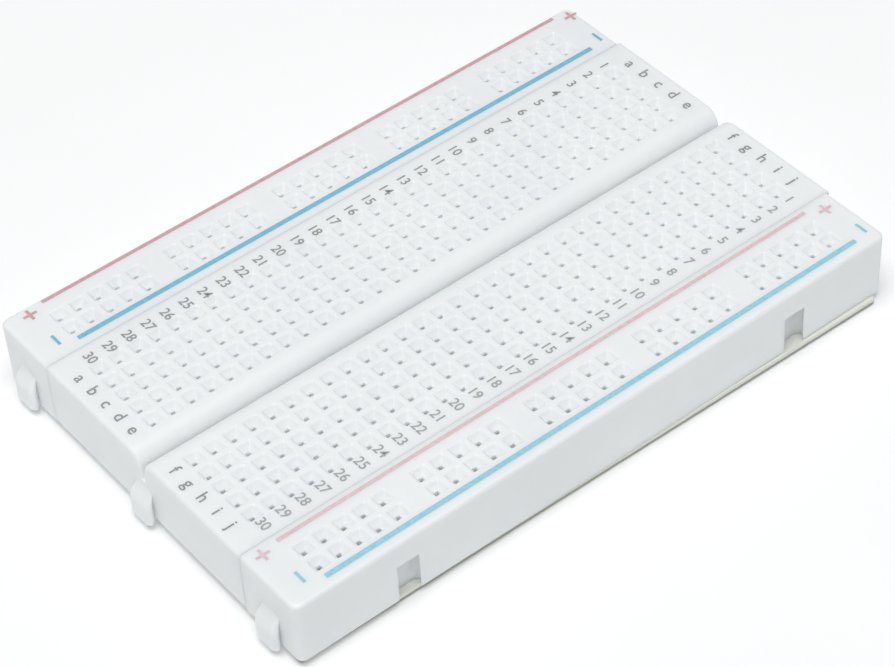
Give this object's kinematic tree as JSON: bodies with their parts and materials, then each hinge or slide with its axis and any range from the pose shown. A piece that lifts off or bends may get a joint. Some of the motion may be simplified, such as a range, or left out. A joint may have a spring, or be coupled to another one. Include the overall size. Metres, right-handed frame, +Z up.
{
  "type": "solderless breadboard",
  "caption": "Rectangular plug-in prototyping board: hole grid with a centre ravine between two power rails, sprung contact clips inside, adhesive foam backing underneath.",
  "frame": {"origin": "middle of the underside of the release liner, below the centre of the hole grid", "axes": "+X along the columns of holes towards column 1, +Y across the board towards row a and the rear power rail, +Z up out of the hole face"},
  "size_m": [0.0837, 0.0562, 0.0095],
  "materials": {
    "housing_plastic": "satin",
    "contact_metal": "satin",
    "foam": "matte",
    "liner_paper": "satin"
  },
  "bodies": {
    "front_rail_and_foam": {"front_power_rail_housing": "housing_plastic", "front_outer_bus_clip": "contact_metal", "front_inner_bus_clip": "contact_metal", "adhesive_foam_sheet": "foam"},
    "terminal_strip": {"terminal_strip_housing": "housing_plastic", "contact_clips_col_01": "contact_metal", "contact_clips_col_02": "contact_metal", "contact_clips_col_03": "contact_metal", "contact_clips_col_04": "contact_metal", "contact_clips_col_05": "contact_metal", "contact_clips_col_06": "contact_metal", "contact_clips_col_07": "contact_metal", "contact_clips_col_08": "contact_metal", "contact_clips_col_09": "contact_metal", "contact_clips_col_10": "contact_metal", "contact_clips_col_11": "contact_metal", "contact_clips_col_12": "contact_metal", "contact_clips_col_13": "contact_metal", "contact_clips_col_14": "contact_metal", "contact_clips_col_15": "contact_metal", "contact_clips_col_16": "contact_metal", "contact_clips_col_17": "contact_metal", "contact_clips_col_18": "contact_metal", "contact_clips_col_19": "contact_metal", "contact_clips_col_20": "contact_metal", "contact_clips_col_21": "contact_metal", "contact_clips_col_22": "contact_metal", "contact_clips_col_23": "contact_metal", "contact_clips_col_24": "contact_metal", "contact_clips_col_25": "contact_metal", "contact_clips_col_26": "contact_metal", "contact_clips_col_27": "contact_metal", "contact_clips_col_28": "contact_metal", "contact_clips_col_29": "contact_metal", "contact_clips_col_30": "contact_metal"},
    "rear_rail": {"rear_power_rail_housing": "housing_plastic", "rear_outer_bus_clip": "contact_metal", "rear_inner_bus_clip": "contact_metal"},
    "liner": {"release_liner": "liner_paper"}
  },
  "joints": [
    {"name": "terminal_strip_dovetail", "type": "slide", "parent": "front_rail_and_foam", "child": "terminal_strip", "axis": [0, 0, 1], "range_m": [0, 0.01]},
    {"name": "rear_rail_dovetail", "type": "slide", "parent": "terminal_strip", "child": "rear_rail", "axis": [0, 0, 1], "range_m": [0, 0.01]},
    {"name": "liner_peel", "type": "hinge", "parent": "front_rail_and_foam", "child": "liner", "pos_m": [-0.0406, 0.00036, 0.00012], "axis": [0.014, 0.9999, 0], "range_deg": [0, 180]}
  ]
}
